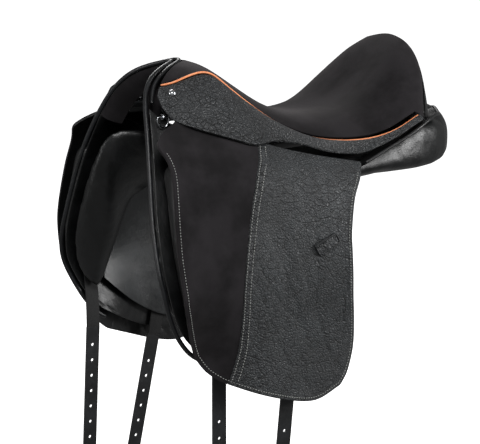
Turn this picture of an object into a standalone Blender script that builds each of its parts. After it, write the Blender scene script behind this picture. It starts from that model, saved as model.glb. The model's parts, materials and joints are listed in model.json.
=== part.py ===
"""Dressage saddle: a tree with its seat, panels, flaps, stirrup bars and girth straps.

Frame: +Z up, the saddle's front is -X and its cantle +X.
Its near (left) side is -Y, its off (right) side +Y.
The origin lies on the symmetry plane, at the height of the horse's spine under the waist of the seat.
"""
import bpy
import bmesh
import numpy as np
from math import cos, pi, radians, sin, tan
from mathutils import Matrix, Vector

SIDES = {"left": -1, "right": 1}
GAP = 0.0006            # left between pieces that are sewn edge to edge

FLAP_THICKNESS = 0.0045
FLAP_TOP_RISE = 0.035            # how far the flap goes on up under the skirt
SKIRT_THICKNESS = 0.0035
COVER_THICKNESS = 0.0025
FOAM_THICKNESS = 0.014
TREE_THICKNESS = 0.007

FOLD_FRONT = (-0.220, 0.142, 0.150)     # x, half width and height where the flap folds, at its front
FOLD_REAR = (0.105, 0.1955, 0.106)
BARREL_WIDTH = 0.142                    # half width at the fold, before the flap follows the horse's side
SKIRT_SPLIT = 0.48                      # share of the way from welt to lower edge where the skirt folds
SKIRT_FRONT, SKIRT_REAR, FACING_REAR = -0.183, -0.037, 0.221

BILLET_WIDTH = 0.022
BILLET_THICKNESS = 0.004
BILLET_INSET = 0.0075            # from the sweat flap in to the strap that lies behind it
HOLE_RADIUS = 0.0028
HOLE_SPACING = 0.0254
BILLET_TIP_HEIGHT = -0.462
PIPING_RADIUS = 0.0042


# ---------------------------------------------------------------- curves and surfaces

def smooth(points, count):
    """Evenly spaced points on a Catmull-Rom curve through the given points."""
    points = np.array(points, float)
    ends = np.vstack([2 * points[0] - points[1], points, 2 * points[-1] - points[-2]])
    share = np.linspace(0, 1, 24, endpoint=False)[:, None]
    spans = []
    for a, b, c, d in zip(ends[:-3], ends[1:-2], ends[2:-1], ends[3:]):
        spans.append(0.5 * (2 * b + (c - a) * share + (2 * a - 5 * b + 4 * c - d) * share ** 2
                            + (3 * b - a - 3 * c + d) * share ** 3))
    fine = np.vstack(spans + [points[-1:]])
    along = np.concatenate([[0], np.cumsum(np.linalg.norm(np.diff(fine, axis=0), axis=1))])
    places = np.linspace(0, along[-1], count)
    return np.stack([np.interp(places, along, fine[:, k]) for k in range(points.shape[1])], axis=1)


def profile(pairs):
    """A smooth function through (place, value) pairs."""
    fine = smooth(pairs, 160)
    return lambda place: np.interp(place, fine[:, 0], fine[:, 1])


def ease(share):
    share = np.clip(share, 0, 1)
    return share * share * (3 - 2 * share)


def blend(a, b, share):
    return a + (b - a) * share


barrel = profile([(-0.06, -0.062), (-0.03, -0.032), (0, 0), (0.02, 0.019), (0.05, 0.036), (0.10, 0.052),
                  (0.16, 0.066), (0.22, 0.071), (0.32, 0.074), (0.42, 0.073)])
sweat_front = profile([(-0.25, 0.150), (-0.16, 0.156), (-0.113, 0.164), (-0.08, 0.174), (-0.057, 0.177),
                       (0, 0.159), (0.052, 0.138), (0.106, 0.118), (0.159, 0.091), (0.21, 0.060)])


def fold_at(x):
    """Half width and height of the flap's fold line."""
    share = (x - FOLD_FRONT[0]) / (FOLD_REAR[0] - FOLD_FRONT[0])
    return blend(FOLD_FRONT[1], FOLD_REAR[1], share), blend(FOLD_FRONT[2], FOLD_REAR[2], share)


def below_fold(x):
    """The (x, z) point of the lifting flap's upper edge."""
    return x, fold_at(x)[1] - GAP


def flap_width(x, z):
    """Half width of the outer flap, which follows the horse's side."""
    width, height = fold_at(x)
    drop = height - z
    tuck = 0.046 * ease((-0.08 - x) / 0.11) * ease((-0.05 - z) / 0.12)
    return BARREL_WIDTH + barrel(drop) + (width - BARREL_WIDTH) * (1 - ease(drop / 0.3)) - tuck


def sweat_width(x, z):
    """Half width of the sweat flap, further in at its front, where the knee block lies."""
    return blend(sweat_front(z), flap_width(x, z) - 0.022, ease((x + 0.20) / 0.13))


# Seat outline: half width and height of the welt, and the seat's centre line, along X.
welt_width = profile([(-0.190, 0.056), (-0.173, 0.060), (-0.152, 0.068), (-0.131, 0.070), (-0.100, 0.066),
                      (-0.060, 0.066),
                      (-0.030, 0.073), (0.000, 0.087), (0.050, 0.115), (0.100, 0.140), (0.140, 0.154),
                      (0.180, 0.161), (0.225, 0.160), (0.285, 0.158)])
welt_height = profile([(-0.190, 0.2235), (-0.173, 0.226), (-0.153, 0.230), (-0.131, 0.2385),
                       (-0.105, 0.2435), (-0.085, 0.239),
                       (-0.059, 0.219), (-0.030, 0.195), (0.000, 0.171), (0.030, 0.153), (0.060, 0.141),
                       (0.100, 0.137), (0.140, 0.140), (0.180, 0.151), (0.224, 0.172), (0.285, 0.200)])
seat_height = profile([(-0.190, 0.250), (-0.140, 0.257), (-0.110, 0.258), (-0.084, 0.254), (-0.060, 0.241),
                       (-0.021, 0.215), (0.009, 0.194), (0.043, 0.179), (0.080, 0.173), (0.120, 0.174),
                       (0.160, 0.184), (0.200, 0.206), (0.240, 0.242), (0.283, 0.284)])
seat_front = profile([(0, -0.095), (0.3, -0.112), (0.6, -0.142), (0.85, -0.162), (1, -0.170)])
rim_rear = profile([(0, 0.275), (0.25, 0.271), (0.44, 0.266), (0.56, 0.260), (0.69, 0.251), (0.81, 0.238),
                    (0.91, 0.227), (1, 0.213)])
rim_height = profile([(0, 0.286), (0.25, 0.281), (0.44, 0.269), (0.56, 0.254), (0.69, 0.232), (0.81, 0.208),
                      (0.91, 0.189), (1, 0.168)])


def seat_point(along, across, depth=0.0):
    """A point on the seat: along 0 is the pommel, 1 the cantle's rim; across -1 and 1 are the welts."""
    out = abs(across)
    x = blend(seat_front(out), rim_rear(out), along)
    crown = blend(out ** 2.2, out ** 3.8, ease((x + 0.06) / 0.16))
    z = blend(seat_height(x), welt_height(x), crown)
    dish = 0.003 * ease((x - 0.06) / 0.08) * np.sin(pi * min(out, 1)) ** 2
    steepness = 1.8 + 2.5 * out ** 4 + 8 * out ** 12
    z = blend(z + dish, rim_height(out), np.clip((along - 0.72) / 0.28, 0, 1) ** steepness)
    return np.array([x, across * welt_width(x), z - depth])


def facing_edge(x):
    """Lower edge of the grained side piece."""
    height = profile([(-0.192, 0.195), (-0.184, 0.191), (-0.171, 0.178), (-0.148, 0.168), (-0.098, 0.152),
                      (-0.066, 0.143),
                      (-0.033, 0.146), (0.008, 0.141), (0.044, 0.129), (0.080, 0.124), (0.113, 0.123),
                      (0.144, 0.130), (0.174, 0.142), (0.204, 0.158), (0.225, 0.168)])(x)
    width = blend(flap_width(x, height) + 0.008, welt_width(x) + 0.016, ease((x - 0.08) / 0.10))
    return width - 0.012 * ease((-0.150 - x) / 0.034), height


def skirt_front(down):
    """Where the side piece starts behind the pommel, at each share of its height."""
    return SKIRT_FRONT + 0.010 * ease(1 - down / SKIRT_SPLIT)


def facing_point(x, down, side, lift=0.0):
    """A point of the side piece: down 0 is the welt, 1 the lower edge."""
    upper = np.array([welt_width(x), welt_height(x)])
    lower = np.array(facing_edge(x))
    fall = lower - upper
    normal = np.array([-fall[1], fall[0]]) / np.linalg.norm(fall)
    bulge = 0.003 * sin(pi * down) + lift
    width, height = upper + fall * down + normal * bulge
    return np.array([x, side * width, height])


def inset(grid, depth):
    """A grid of points moved below its own surface by depth."""
    points = np.array(grid, float)
    normals = np.cross(np.gradient(points, axis=0), np.gradient(points, axis=1))
    normals /= np.linalg.norm(normals, axis=2, keepdims=True)
    below = normals * np.where(normals[..., 2:] > 0, -1, 1)
    return points + below * depth


def patch(top, bottom, front, rear, columns, rows):
    """A four-sided grid of (x, z) points between four smooth edges."""
    top, bottom = smooth(top, columns + 1), smooth(bottom, columns + 1)
    front, rear = smooth(front, rows + 1)[:, None], smooth(rear, rows + 1)[:, None]
    u = np.linspace(0, 1, columns + 1)[None, :, None]
    v = np.linspace(0, 1, rows + 1)[:, None, None]
    corners = (1 - v) * blend(top[0], top[-1], u) + v * blend(bottom[0], bottom[-1], u)
    return (1 - v) * top + v * bottom + (1 - u) * front + u * rear - corners


def on_side(grid, width, side, offset=0.0):
    """Lays a grid of (x, z) points on the side surface whose half width is width(x, z)."""
    return [[(x, side * (width(x, z) + offset), z) for x, z in row] for row in grid]


# ---------------------------------------------------------------- objects

def start_scene():
    for thing in list(bpy.data.objects):
        bpy.data.objects.remove(thing)
    for name in ("dressage_saddle", "cutters"):
        bpy.context.scene.collection.children.link(bpy.data.collections.new(name))


def material(name, colour, roughness, metallic=0.0):
    made = bpy.data.materials.get(name)
    if made is None:
        made = bpy.data.materials.new(name)
        made.use_nodes = True
        shader = made.node_tree.nodes["Principled BSDF"]
        shader.inputs["Base Color"].default_value = (*colour, 1)
        shader.inputs["Roughness"].default_value = roughness
        shader.inputs["Metallic"].default_value = metallic
    return made


def smooth_leather():
    return material("smooth_leather", (0.012, 0.012, 0.013), 0.42)


def grained_leather():
    return material("grained_leather", (0.018, 0.018, 0.019), 0.55)


def suede():
    return material("suede", (0.020, 0.016, 0.016), 0.95)


def steel():
    return material("steel", (0.62, 0.62, 0.63), 0.22, 1.0)


def place(name, data, finish, collection="dressage_saddle"):
    thing = bpy.data.objects.new(name, data)
    bpy.data.collections[collection].objects.link(thing)
    if finish is not None:
        data.materials.append(finish)
    return thing


def hold_origin(thing, point):
    """Moves a piece's origin to a point without moving the piece."""
    thing.data.transform(Matrix.Translation(-Vector(point)))
    thing.location = point
    return thing


def sheet(name, grid, thickness, finish):
    """A leather panel: an open grid of points given its thickness by Solidify."""
    rows, columns = len(grid), len(grid[0])
    mesh = bpy.data.meshes.new(name)
    faces = []
    for i in range(rows - 1):
        for j in range(columns - 1):
            k = i * columns + j
            faces.append((k, k + 1, k + columns + 1, k + columns))
    mesh.from_pydata([tuple(point) for row in grid for point in row], [], faces)
    thing = place(name, mesh, finish)
    wall = thing.modifiers.new("thickness", "SOLIDIFY")
    wall.thickness = thickness
    wall.offset = 0
    mesh.shade_smooth()
    return thing


def loft(name, rings, finish, levels=0):
    """A closed solid through a row of rings, each a list of points, with flat ends."""
    form = bmesh.new()
    loops = [[form.verts.new(tuple(point)) for point in ring] for ring in rings]
    for near, far in zip(loops, loops[1:]):
        for k in range(len(near)):
            after = (k + 1) % len(near)
            form.faces.new((near[k], near[after], far[after], far[k]))
    form.faces.new(loops[0][::-1])
    form.faces.new(loops[-1])
    bmesh.ops.recalc_face_normals(form, faces=form.faces)
    mesh = bpy.data.meshes.new(name)
    form.to_mesh(mesh)
    form.free()
    thing = place(name, mesh, finish)
    if levels:
        soft = thing.modifiers.new("soft", "SUBSURF")
        soft.levels = soft.render_levels = levels
    mesh.shade_smooth()
    return thing


def tube(name, points, radius, finish, closed=False, resolution=2):
    """A cord, wire or piping along a row of points."""
    path = bpy.data.curves.new(name, "CURVE")
    path.dimensions = "3D"
    path.bevel_depth = radius
    path.bevel_resolution = resolution
    path.use_fill_caps = not closed
    line = path.splines.new("POLY")
    line.points.add(len(points) - 1)
    for spot, point in zip(line.points, points):
        spot.co = (*point, 1)
    line.use_cyclic_u = closed
    return place(name, path, finish)


def bar(name, size, centre, finish, rounding=0.0):
    """A rectangular block, its scale applied, with rounded edges."""
    bpy.ops.mesh.primitive_cube_add(size=1)
    thing = bpy.context.object
    for holder in thing.users_collection:
        holder.objects.unlink(thing)
    bpy.data.collections["dressage_saddle"].objects.link(thing)
    thing.name = thing.data.name = name
    thing.data.transform(Matrix.Diagonal((*size, 1)))
    thing.data.materials.append(finish)
    thing.location = centre
    if rounding:
        edges = thing.modifiers.new("edges", "BEVEL")
        edges.width = rounding
        edges.segments = 2
    return thing


def turned(name, outline, place_at, axis, finish, steps=20):
    """A round piece: a profile of (radius, height) turned about its axis, from the top down its outer side."""
    mesh = bpy.data.meshes.new(name)
    edges = [(k, k + 1) for k in range(len(outline) - 1)]
    mesh.from_pydata([(radius, 0, height) for radius, height in outline], edges, [])
    thing = place(name, mesh, finish)
    spin = thing.modifiers.new("turn", "SCREW")
    spin.steps = spin.render_steps = steps
    spin.use_merge_vertices = True
    spin.merge_threshold = 0.00002
    thing.location = place_at
    thing.rotation_mode = "QUATERNION"
    thing.rotation_quaternion = Vector(axis).to_track_quat("Z", "Y")
    return thing


def cut(thing, cutter):
    hole = thing.modifiers.new("cut", "BOOLEAN")
    hole.operation = "DIFFERENCE"
    hole.object = cutter
    cutter.hide_render = True
    cutter.display_type = "WIRE"


def round_cutter(name, radius, depth, place_at, axis=(0, 1, 0), sides=8):
    form = bmesh.new()
    bmesh.ops.create_cone(form, cap_ends=True, segments=sides, radius1=radius, radius2=radius, depth=depth)
    mesh = bpy.data.meshes.new(name)
    form.to_mesh(mesh)
    form.free()
    thing = place(name, mesh, None, "cutters")
    thing.location = place_at
    thing.rotation_mode = "QUATERNION"
    thing.rotation_quaternion = Vector(axis).to_track_quat("Z", "Y")
    return thing


# ---------------------------------------------------------------- tree and seat

def seat_grid(rows, columns, depth, start=0.0, stop=1.0, reach=0.96):
    grid = [[seat_point(along, across) for across in np.linspace(-reach, reach, columns + 1)]
            for along in np.linspace(start, stop, rows + 1)]
    return inset(grid, depth)


def make_tree():
    sheet("tree", seat_grid(14, 8, 0.028, 0.05, 0.97, 0.84), TREE_THICKNESS,
          material("moulded_nylon", (0.02, 0.02, 0.02), 0.5))

    arch = [(0.068, 0.183), (0.058, 0.196), (0.038, 0.207), (0, 0.213)]
    half = smooth(arch, 9)
    outline = np.vstack([half * (-1, 1), half[-2::-1]])
    plate = [[(x, y, z) for y, z in outline] for x in (-0.128, -0.103)]
    sheet("head_plate", plate, 0.004, steel())


def make_seat():
    sheet("seat_foam", seat_grid(14, 10, 0.0042 + FOAM_THICKNESS / 2 + COVER_THICKNESS / 2, 0.03, 0.985,
                                 0.90),
          FOAM_THICKNESS, material("foam", (0.75, 0.70, 0.55), 0.9))
    rows = list(seat_grid(18, 12, COVER_THICKNESS / 2, 0.0, 1.0, 0.965))
    for out, down in ((0.006, 0.004), (0.010, 0.012)):
        rows.append([seat_point(1, across, down) + np.array([out, out * across * 0.8, 0])
                     for across in np.linspace(-0.965, 0.965, 13)])
    sheet("seat_cover", rows, COVER_THICKNESS, suede())


def make_rear_facing():
    """The leather back of the cantle, from the rim down to the panels."""
    rows = []
    for down in np.linspace(0, 1, 5):
        row = []
        for across in np.linspace(-0.93, 0.93, 13):
            rim = seat_point(1, across, 0.019) + np.array([0.0125, 0.009 * across, 0])
            foot = np.array([rim[0] + 0.004, rim[1] * 0.98, 0.188 - 0.012 * abs(across)])
            foot[2] = min(foot[2], rim[2] - 0.004)
            row.append(blend(rim, foot, down) + np.array([0.004 * sin(pi * down), 0, 0]))
        rows.append(row)
    sheet("rear_facing", rows, COVER_THICKNESS, smooth_leather())


# ---------------------------------------------------------------- pommel

ARCH = [(-0.116, 0, 0.257), (-0.1475, 0.024, 0.2485), (-0.1654, 0.033, 0.2405), (-0.1767, 0.040, 0.232),
        (-0.185, 0.047, 0.2216), (-0.195, 0.062, 0.202), (-0.208, 0.095, 0.152), (-0.218, 0.121, 0.098),
        (-0.225, 0.141, 0.044), (-0.229, 0.162, -0.010), (-0.2285, 0.172, -0.037), (-0.224, 0.177, -0.065),
        (-0.2135, 0.170, -0.094), (-0.195, 0.161, -0.130), (-0.172, 0.157, -0.158), (-0.158, 0.158, -0.166)]


def both_sides(half):
    """A path from the near side over the pommel to the off side."""
    half = np.array(half, float)
    return np.vstack([half[::-1] * (1, -1, 1), half[1:]])


def along_arch(points, rearward, inward):
    """A path moved off the arch: rearward over the seat and inward into the gullet."""
    points = np.array(points, float)
    ahead = np.gradient(points, axis=0)
    ahead /= np.linalg.norm(ahead, axis=1, keepdims=True)
    back = np.array([1, 0, 0.15]) - ahead * (ahead @ (1, 0, 0.15))[:, None]
    back /= np.linalg.norm(back, axis=1, keepdims=True)
    down = np.cross(ahead, back)
    return points + back * rearward + down * inward


def make_pommel():
    tube("front_piping", smooth(both_sides(ARCH), 61), PIPING_RADIUS, smooth_leather(), resolution=1)
    arch = smooth(both_sides(ARCH[:6]), 31)
    tube("pommel_piping", along_arch(arch, 0.0098, 0), PIPING_RADIUS, smooth_leather(), resolution=1)
    steps = ((0.002, 0.0072), (0.004, 0.013), (0.014, 0.018))
    sheet("front_facing", [along_arch(arch, back, down) for back, down in steps], 0.002, smooth_leather())


def make_gullet_lining():
    rows = []
    for x in np.linspace(-0.160, -0.070, 5):
        half = smooth([(0.062, 0.176), (0.053, 0.185), (0.035, 0.193), (0, 0.197)], 7)
        outline = np.vstack([half * (-1, 1), half[-2::-1]])
        rows.append([(x, y, z) for y, z in outline])
    sheet("gullet_lining", rows, 0.002, material("lining", (0.01, 0.01, 0.01), 0.8))


# ---------------------------------------------------------------- side pieces

def make_welt(label, side):
    stations = np.linspace(-0.170, 0.222, 40)
    points = [(x, side * (welt_width(x) + 0.001), welt_height(x)) for x in stations]
    tube("welt_" + label, points, 0.0019, material("orange_piping", (0.80, 0.30, 0.12), 0.5), resolution=1)


def make_facing(label, side):
    rows = []
    for share in np.linspace(0, 1, 5):
        row = []
        for x in np.concatenate([np.linspace(skirt_front(share * SKIRT_SPLIT), SKIRT_REAR - 0.004, 10),
                                 np.linspace(-0.018, FACING_REAR, 14)]):
            top = 0.0045 / np.linalg.norm(np.array(facing_edge(x)) - (welt_width(x), welt_height(x)))
            end = SKIRT_SPLIT if x < SKIRT_REAR else 1.0
            row.append(facing_point(x, blend(top, end, share), side))
        rows.append(row)
    sheet("side_facing_" + label, rows, SKIRT_THICKNESS, grained_leather())


def make_skirt(label, side):
    """The lifting lower part of the side piece, which covers the stirrup bar."""
    rows = []
    for down in np.linspace(SKIRT_SPLIT + 0.03, 1, 5):
        share = (down - SKIRT_SPLIT) / (1 - SKIRT_SPLIT)
        front = SKIRT_FRONT + 0.006 * ease((share - 0.5) / 0.5) ** 2
        row = [facing_point(x, down, side) for x in np.linspace(front, SKIRT_REAR - 0.009 + 0.008 * share,
                                                                12)]
        rows.append(row)
    skirt = sheet("skirt_" + label, rows, SKIRT_THICKNESS, grained_leather())
    hinge = facing_point(SKIRT_FRONT, SKIRT_SPLIT, side) + np.array([0, side * 0.020, -0.004])
    hold_origin(skirt, hinge)


FLAP_FRONT_EDGE = [below_fold(-0.2225), (-0.212, 0.132), (-0.2103, 0.114), (-0.214, 0.078), (-0.218, 0.025),
                   (-0.218, -0.012), (-0.211, -0.066), (-0.199, -0.101), (-0.185, -0.134), (-0.176, -0.156)]
FLAP_SEAM = [below_fold(-0.049), (-0.079, 0.106), (-0.098, 0.063), (-0.112, 0.002), (-0.119, -0.052),
             (-0.119, -0.100), (-0.120, -0.140), (-0.125, -0.168), (-0.133, -0.1965)]
FLAP_REAR_EDGE = [below_fold(0.095), (0.083, 0.090), (0.066, 0.062), (0.058, 0.020), (0.058, -0.012),
                  (0.062, -0.070), (0.068, -0.120), (0.069, -0.160), (0.060, -0.196), (0.047, -0.217)]
FLAP_BOTTOM = [(-0.097, -0.2105), (-0.055, -0.2245), (-0.016, -0.2335), (0.012, -0.2325)]


def make_flap(label, side):
    x0, width, z0 = FOLD_FRONT
    pivot = (x0, side * (width + 0.002), z0 + 0.002)
    pad = patch([FLAP_FRONT_EDGE[0], below_fold(-0.13), FLAP_SEAM[0]],
                [FLAP_FRONT_EDGE[-1], (-0.161, -0.177), (-0.145, -0.190), FLAP_SEAM[-1]],
                FLAP_FRONT_EDGE, FLAP_SEAM, 8, 16)
    pad = sheet("flap_front_" + label, on_side(pad, flap_width, side), FLAP_THICKNESS, suede())
    shifted = [(x + GAP, z) for x, z in FLAP_SEAM]
    main = patch([shifted[0], below_fold(0.02), FLAP_REAR_EDGE[0]],
                 [shifted[-1]] + FLAP_BOTTOM + [FLAP_REAR_EDGE[-1]],
                 shifted, FLAP_REAR_EDGE, 12, 16)
    main = sheet("flap_" + label, on_side(main, flap_width, side), FLAP_THICKNESS, grained_leather())
    for piece in (pad, main):
        hold_origin(piece, pivot)

    rows = []
    for share in (0, 0.5, 1):
        row = []
        for x in np.linspace(FLAP_FRONT_EDGE[0][0] + 0.026 * share, FLAP_REAR_EDGE[0][0], 26):
            fold = fold_at(x)[1]
            behind_skirt = ease((x + 0.165) / 0.02) * (1 - ease((x + 0.085) / 0.04))
            room = facing_edge(x)[1] - fold - 0.0075 + 0.030 * behind_skirt
            height = fold + blend(2 * GAP, min(FLAP_TOP_RISE, room), share)
            row.append((x, side * (flap_width(x, height) - 0.0010 * share), height))
        rows.append(row)
    sheet("flap_top_" + label, rows, FLAP_THICKNESS, grained_leather())
    make_keeper(label, side, pivot)


def make_keeper(label, side, pivot):
    """The loop that holds the end of a stirrup leather, low on the flap and rising to the rear."""
    centre, tilt = (0.0145, 0.001), radians(27)
    rows = []
    for v in np.linspace(-0.0085, 0.0085, 3):
        row = []
        for u in np.linspace(-0.0195, 0.0195, 9):
            x = centre[0] + u * cos(tilt) - v * sin(tilt)
            z = centre[1] + u * sin(tilt) + v * cos(tilt)
            lift = 0.0045 + 0.0012 * cos(pi * u / 0.039)
            row.append((x, side * (flap_width(x, z) + lift), z))
        rows.append(row)
    hold_origin(sheet("stirrup_keeper_" + label, rows, 0.0022, grained_leather()), pivot)


SWEAT_FRONT_EDGE = [(-0.193, 0.194), (-0.2015, 0.152), (-0.2115, 0.098), (-0.2185, 0.044),
                    (-0.2225, -0.010),
                    (-0.2175, -0.062), (-0.207, -0.091), (-0.189, -0.126), (-0.164, -0.152)]


def make_sweat_flap(label, side):
    grid = patch([SWEAT_FRONT_EDGE[0], (-0.165, 0.170), (-0.08, 0.138), (0.050, 0.112)],
                 [SWEAT_FRONT_EDGE[-1], (-0.141, -0.163), (-0.103, -0.183), (-0.066, -0.198),
                  (-0.025, -0.204),
                  (0.010, -0.200), (0.038, -0.176)],
                 SWEAT_FRONT_EDGE, [(0.050, 0.112), (0.052, 0.02), (0.054, -0.08), (0.038, -0.176)], 12, 14)
    sheet("sweat_flap_" + label, on_side(grid, sweat_width, side), 0.003, smooth_leather())


def make_lining(label, side):
    grid = patch([(-0.112, 0.046), (-0.06, 0.046), (0.036, 0.046)],
                 [(-0.162, -0.100), (-0.132, -0.127), (-0.102, -0.149), (-0.070, -0.168), (-0.036, -0.182),
                  (0.0, -0.182), (0.030, -0.158)],
                 [(-0.112, 0.046), (-0.136, 0.010), (-0.150, -0.040), (-0.162, -0.100)],
                 [(0.036, 0.046), (0.040, -0.05), (0.030, -0.158)], 8, 8)
    sheet("panel_lining_" + label, on_side(grid, sweat_width, side, -0.0145), 0.002, smooth_leather())


def make_knee_block(label, side):
    rings = []
    top, bottom = 0.126, -0.132
    for z in np.linspace(top, bottom, 9):
        share = (top - z) / (top - bottom)
        front = np.interp(z, [-0.132, -0.060, 0, 0.126], [-0.188, -0.212, -0.2165, -0.2055])
        rear = front + 0.070 + 0.012 * sin(pi * share)
        middle = blend(front, rear, 0.5)
        ring = []
        for x, reach in ((front, 0.25), (front + 0.004, 0), (middle, 0), (rear, 0.35)):
            inner, outer = sweat_width(x, z) + 0.0048, flap_width(x, z) - 0.0065
            ring.append((x, blend(inner, outer, reach), blend(outer, inner, reach)))
        rings.append([(x, side * low, z) for x, low, high in ring]
                     + [(x, side * high, z) for x, low, high in ring[::-1]])
    loft("knee_block_" + label, rings, smooth_leather(), 1)


# ---------------------------------------------------------------- panels

# Stations from the rear of the panel forward along the back and down the front bolster. Each holds
# the channel or front edge, low then high, and the outer or inner-seam edge, low then high.
PANEL_STATIONS = [
    ((0.334, 0.045, 0.120), (0.334, 0.045, 0.158), (0.330, 0.100, 0.116), (0.328, 0.100, 0.154)),
    ((0.311, 0.036, 0.106), (0.312, 0.036, 0.184), (0.306, 0.135, 0.098), (0.302, 0.131, 0.176)),
    ((0.245, 0.034, 0.106), (0.250, 0.036, 0.177), (0.240, 0.163, 0.092), (0.240, 0.153, 0.166)),
    ((0.170, 0.033, 0.106), (0.175, 0.036, 0.142), (0.165, 0.171, 0.094), (0.165, 0.162, 0.124)),
    ((0.080, 0.033, 0.100), (0.080, 0.036, 0.120), (0.080, 0.170, 0.081), (0.080, 0.162, 0.104)),
    ((-0.010, 0.034, 0.100), (-0.010, 0.036, 0.126), (0.000, 0.172, 0.062), (0.000, 0.160, 0.100)),
    ((-0.085, 0.042, 0.112), (-0.088, 0.046, 0.146), (-0.068, 0.162, 0.050), (-0.066, 0.152, 0.100)),
    ((-0.145, 0.054, 0.128), (-0.152, 0.062, 0.168), (-0.104, 0.150, 0.038), (-0.098, 0.156, 0.066)),
    ((-0.192, 0.068, 0.140), (-0.196, 0.077, 0.168), (-0.130, 0.140, 0.010), (-0.124, 0.155, 0.016)),
    ((-0.208, 0.088, 0.106), (-0.212, 0.102, 0.110), (-0.145, 0.138, -0.022), (-0.140, 0.156, -0.020)),
    ((-0.218, 0.110, 0.054), (-0.221, 0.125, 0.056), (-0.154, 0.139, -0.054), (-0.150, 0.158, -0.053)),
    ((-0.223, 0.130, 0.000), (-0.226, 0.146, 0.000), (-0.162, 0.142, -0.084), (-0.158, 0.159, -0.084)),
    ((-0.220, 0.142, -0.052), (-0.222, 0.156, -0.054), (-0.172, 0.138, -0.106), (-0.169, 0.149, -0.107)),
    ((-0.208, 0.139, -0.094), (-0.208, 0.149, -0.096), (-0.184, 0.137, -0.116), (-0.183, 0.147, -0.118)),
]
PANEL_BULGE = [0.006, 0.012, 0.016, 0.016, 0.016, 0.016, 0.018, 0.022, 0.026, 0.028, 0.028, 0.026, 0.018,
               0.008]


def make_panel(label, side):
    """The wool-stuffed cushion: along the horse's back, then down behind the shoulder as a bolster."""
    flip = np.array([1, side, 1])
    rings = []
    for (low_a, high_a, low_b, high_b), bulge in zip(PANEL_STATIONS, PANEL_BULGE):
        low_a, high_a, low_b, high_b = (np.array(point) for point in (low_a, high_a, low_b, high_b))
        across = low_b - low_a
        thick = 0.5 * (high_a - low_a + high_b - low_b)
        belly = -thick / np.linalg.norm(thick) * bulge
        ring = [low_a, low_a + 0.28 * across + 0.8 * belly, low_a + 0.6 * across + belly,
                low_a + 0.86 * across + 0.6 * belly, low_b, blend(low_b, high_b, 0.6), high_b,
                blend(high_b, high_a, 0.35), blend(high_b, high_a, 0.7), high_a]
        rings.append([point * flip for point in ring])
    loft("panel_" + label, rings, smooth_leather(), 1)


def make_panel_piping(label, side):
    """The piped seam on the panel's upper edge, which goes round below the cantle."""
    points = smooth([(0.112, 0.180, 0.107), (0.148, 0.181, 0.124), (0.188, 0.183, 0.143),
                     (0.218, 0.180, 0.159),
                     (0.248, 0.166, 0.170), (0.279, 0.137, 0.178), (0.299, 0.085, 0.184),
                     (0.305, 0.004, 0.187)], 24)
    tube("panel_piping_" + label, [(x, side * y, z) for x, y, z in points], 0.0030, smooth_leather(),
         resolution=1)


# ---------------------------------------------------------------- girth straps

# For each strap: x at its root, forward lean, height of its first hole.
BILLETS = {
    "billet_front_left": (-0.1275, 0.0, -0.2625), "billet_front_right": (-0.187, 2.7, -0.205),
    "billet_rear_left": (-0.025, 5.4, -0.2835), "billet_rear_right": (-0.059, 11.5, -0.2565),
}
EXIT_HEIGHT = {"front": -0.176, "rear": -0.212}


def make_billet(name, root_x, lean, first_hole):
    label = name.split("_")[-1]
    side = SIDES[label]
    exit_z = EXIT_HEIGHT[name.split("_")[1]]
    slope = tan(radians(lean))
    width = sweat_width(root_x, exit_z) - BILLET_INSET
    half = BILLET_WIDTH / 2

    length = exit_z - BILLET_TIP_HEIGHT
    heights = np.concatenate([np.linspace(0, length - 0.012, 5), [length - 0.005, length]])
    outline = []
    for sign in (1, -1):
        edge = [(sign * half * (1 if drop < length - 0.010 else 0.78 if drop < length - 0.002 else 0.30),
                 -drop)
                for drop in heights]
        outline += edge if sign > 0 else edge[::-1]
    form = bmesh.new()
    face = form.faces.new([form.verts.new((x, 0, z)) for x, z in outline])
    mesh = bpy.data.meshes.new(name)
    pulled = bmesh.ops.extrude_face_region(form, geom=[face])
    bmesh.ops.translate(form, vec=(0, BILLET_THICKNESS, 0),
                        verts=[part for part in pulled["geom"] if isinstance(part, bmesh.types.BMVert)])
    bmesh.ops.translate(form, vec=(0, -BILLET_THICKNESS / 2, 0), verts=form.verts)
    bmesh.ops.recalc_face_normals(form, faces=form.faces)
    form.to_mesh(mesh)
    form.free()
    strap = place(name, mesh, smooth_leather())
    strap.location = (root_x, side * width, exit_z)
    strap.rotation_euler = (0, radians(lean), 0)

    hole, number = first_hole, 0
    while hole > BILLET_TIP_HEIGHT + 0.030:
        x = root_x - (exit_z - hole) * slope
        cut(strap, round_cutter(f"{name}_hole_{number}", HOLE_RADIUS, 0.02, (x, side * width, hole)))
        hole -= HOLE_SPACING * cos(radians(lean))
        number += 1

    rows = []
    for z in np.linspace(exit_z + 0.0026 + half * sin(radians(lean)), -0.010, 8):
        x = root_x + (z - exit_z) * slope
        rows.append([(x + dx, side * (sweat_width(x + dx, z) - BILLET_INSET), z) for dx in (-half, 0,
                                                                                            half)])
    sheet(name.replace("billet", "billet_root"), rows, 0.003, material("webbing", (0.03, 0.03, 0.03), 0.9))


# ---------------------------------------------------------------- metal fittings

def make_stirrup_bar(label, side):
    """A forged bar: its inner leg lies on the tree, its outer leg is open at the rear for the leather."""
    path = smooth([(-0.092, 0.077, 0.190), (-0.138, 0.079, 0.190), (-0.1545, 0.0835, 0.190),
                   (-0.157, 0.0905, 0.190), (-0.148, 0.096, 0.189), (-0.092, 0.104, 0.187)], 20)
    tube("stirrup_bar_" + label, [(x, side * y, z) for x, y, z in path], 0.0038, steel(), resolution=2)
    head = [(0, 0.0035), (0.003, 0.003), (0.004, 0.0015), (0.004, 0), (0, 0)]
    for number, x in enumerate((-0.134, -0.104)):
        turned(f"bar_rivet_{number + 1}_{label}", head, (x, side * 0.0785, 0.1945), (0, 0, 1), steel(), 12)


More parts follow.
